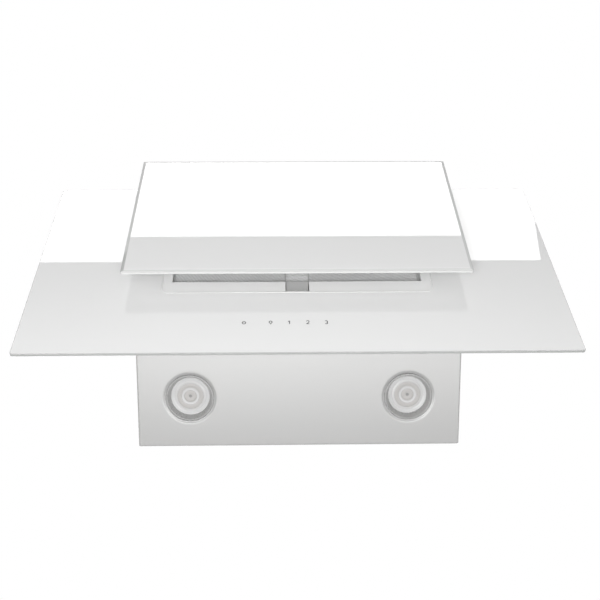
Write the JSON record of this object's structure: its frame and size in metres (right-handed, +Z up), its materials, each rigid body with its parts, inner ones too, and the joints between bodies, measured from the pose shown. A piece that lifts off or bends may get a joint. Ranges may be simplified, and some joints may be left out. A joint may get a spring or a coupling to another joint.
{
  "type": "cooker hood",
  "caption": "Wall-hung inclined cooker hood: wide leaning glass, hinged perimeter-suction panel, mesh filter, two recessed lamps and a round top outlet.",
  "frame": {"origin": "centre of the four wall bolts, on the wall plane", "axes": "+X along the wall to the right as seen from the room, +Y into the wall, +Z up"},
  "size_m": [0.898, 0.4184, 0.4947],
  "materials": {
    "white_glass": "toughened, painted white behind, polished edge",
    "white_enamel": "satin white powder coat",
    "zinc_sheet": "zinc-coated sheet",
    "satin_steel": "fine satin brush across the width",
    "mesh_aluminium": "expanded mesh",
    "filter_aluminium": "bright rolled channel",
    "latch_steel": "satin",
    "black_tape": "foam bonding tape",
    "black_plastic": "moulded, fine texture",
    "circuit_board": "solder mask",
    "hinge_steel": "zinc plated",
    "bright_steel": "ground steel",
    "catch_plastic": "moulded",
    "polished_bezel": "polished",
    "frosted_lens": "frosted lens",
    "mirror_reflector": "bright reflector",
    "cast_housing": "cast",
    "grey_plastic": "moulded",
    "rotor_steel": "laminated",
    "rubber_bush": "soft rubber",
    "capacitor_white": "moulded can",
    "lead_insulation": "insulated lead"
  },
  "bodies": {
    "cabinet": {"back_plate": "zinc_sheet", "bonding_tape": "black_tape", "bottom_plate": "satin_steel", "cable_gland": "black_plastic", "capacitor": "capacitor_white", "control_board": "circuit_board", "control_box": "grey_plastic", "control_lid": "grey_plastic", "damper_pin": "bright_steel", "filter_frame": "filter_aluminium", "filter_mesh": "mesh_aluminium", "front_frame": "zinc_sheet", "front_glass": "white_glass", "hinge_bracket_left": "hinge_steel", "hinge_bracket_right": "hinge_steel", "hinge_pins": "bright_steel", "hinge_screws": "bright_steel", "intake_surround": "white_enamel", "lamp_bezel_left": "polished_bezel", "lamp_bezel_right": "polished_bezel", "lamp_board_left": "circuit_board", "lamp_board_right": "circuit_board", "lamp_clips_left": "hinge_steel", "lamp_clips_right": "hinge_steel", "lamp_housing_left": "cast_housing", "lamp_housing_right": "cast_housing", "lamp_leads": "lead_insulation", "lamp_lens_left": "frosted_lens", "lamp_lens_right": "frosted_lens", "lamp_reflector_left": "mirror_reflector", "lamp_reflector_right": "mirror_reflector", "latch_springs": "latch_steel", "motor_bracket": "zinc_sheet", "motor_housing": "cast_housing", "motor_isolators": "rubber_bush", "motor_screws": "bright_steel", "motor_stator": "rotor_steel", "outlet_spigot": "black_plastic", "panel_catches": "catch_plastic", "scroll_left": "grey_plastic", "scroll_right": "grey_plastic", "shaft_bearings": "bright_steel", "side_panel_left": "satin_steel", "side_panel_right": "satin_steel", "top_plate": "zinc_sheet", "top_screws": "bright_steel", "touch_board": "circuit_board", "touch_housing": "black_plastic"},
    "panel": {"panel_tray": "white_enamel", "panel_back": "zinc_sheet", "panel_glass": "white_glass", "catch_strikes": "hinge_steel", "hinge_lug_left": "hinge_steel", "hinge_lug_right": "hinge_steel"},
    "latch": {"filter_latch": "latch_steel"},
    "fan": {"impeller": "grey_plastic", "fan_shaft": "bright_steel", "motor_rotor": "rotor_steel"},
    "damper_front": {"damper_flap_front": "black_plastic"},
    "damper_rear": {"damper_flap_rear": "black_plastic"}
  },
  "joints": [
    {"name": "panel_hinge", "type": "hinge", "parent": "cabinet", "child": "panel", "pos_m": [0, -0.38306, 0.23209], "axis": [-1, 0, 0], "range_deg": [0, 90]},
    {"name": "latch_slide", "type": "slide", "parent": "cabinet", "child": "latch", "axis": [0, -0.4147, 0.91], "range_m": [0, 0.005], "stiffness_N_per_m": 500, "springref_m": -0.002, "deforming": ["latch_springs"]},
    {"name": "fan_spin", "type": "hinge", "parent": "cabinet", "child": "fan", "pos_m": [0, -0.128, 0], "axis": [1, 0, 0], "continuous": true},
    {"name": "damper_front_swing", "type": "hinge", "parent": "cabinet", "child": "damper_front", "pos_m": [0, -0.09, 0.225], "axis": [-1, 0, 0], "range_deg": [0, 80]},
    {"name": "damper_rear_swing", "type": "hinge", "parent": "cabinet", "child": "damper_rear", "pos_m": [0, -0.09, 0.225], "axis": [1, 0, 0], "range_deg": [0, 80]}
  ]
}
